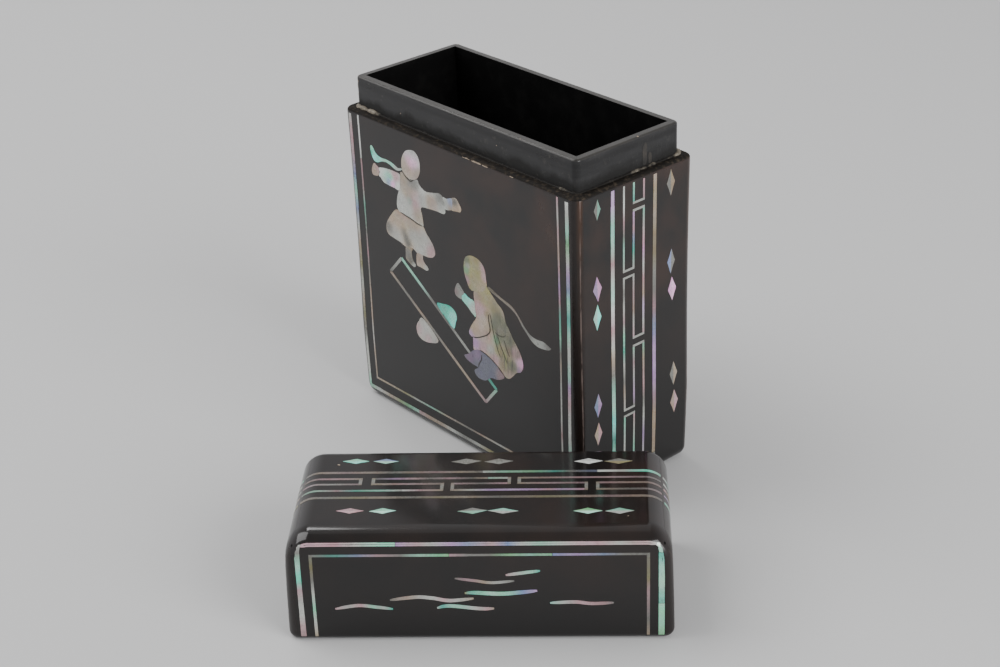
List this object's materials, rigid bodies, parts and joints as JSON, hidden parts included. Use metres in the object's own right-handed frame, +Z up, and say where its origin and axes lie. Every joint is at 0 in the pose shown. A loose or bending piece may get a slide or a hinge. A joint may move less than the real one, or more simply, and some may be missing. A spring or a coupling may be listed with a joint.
{
  "type": "papier-mache box",
  "caption": "Upright lacquered papier-mache box inlaid with mother-of-pearl, with a plain neck and a lift-off lid set down on its rim in front of it.",
  "frame": {"origin": "centre of the box body's flat underside", "axes": "+Z up through the box's mouth; +X along its width; the face with the figures looks along -Y; the lid stands on the same surface at +X -Y, turned 46.2 degrees about +Z"},
  "size_m": [0.1268, 0.1118, 0.0851],
  "materials": {
    "black_lacquer": "satin gloss",
    "worn_lacquer": "matt"
  },
  "bodies": {
    "root": {"body_shell": "black_lacquer", "neck_liner": "worn_lacquer", "lid": "black_lacquer"}
  },
  "joints": []
}
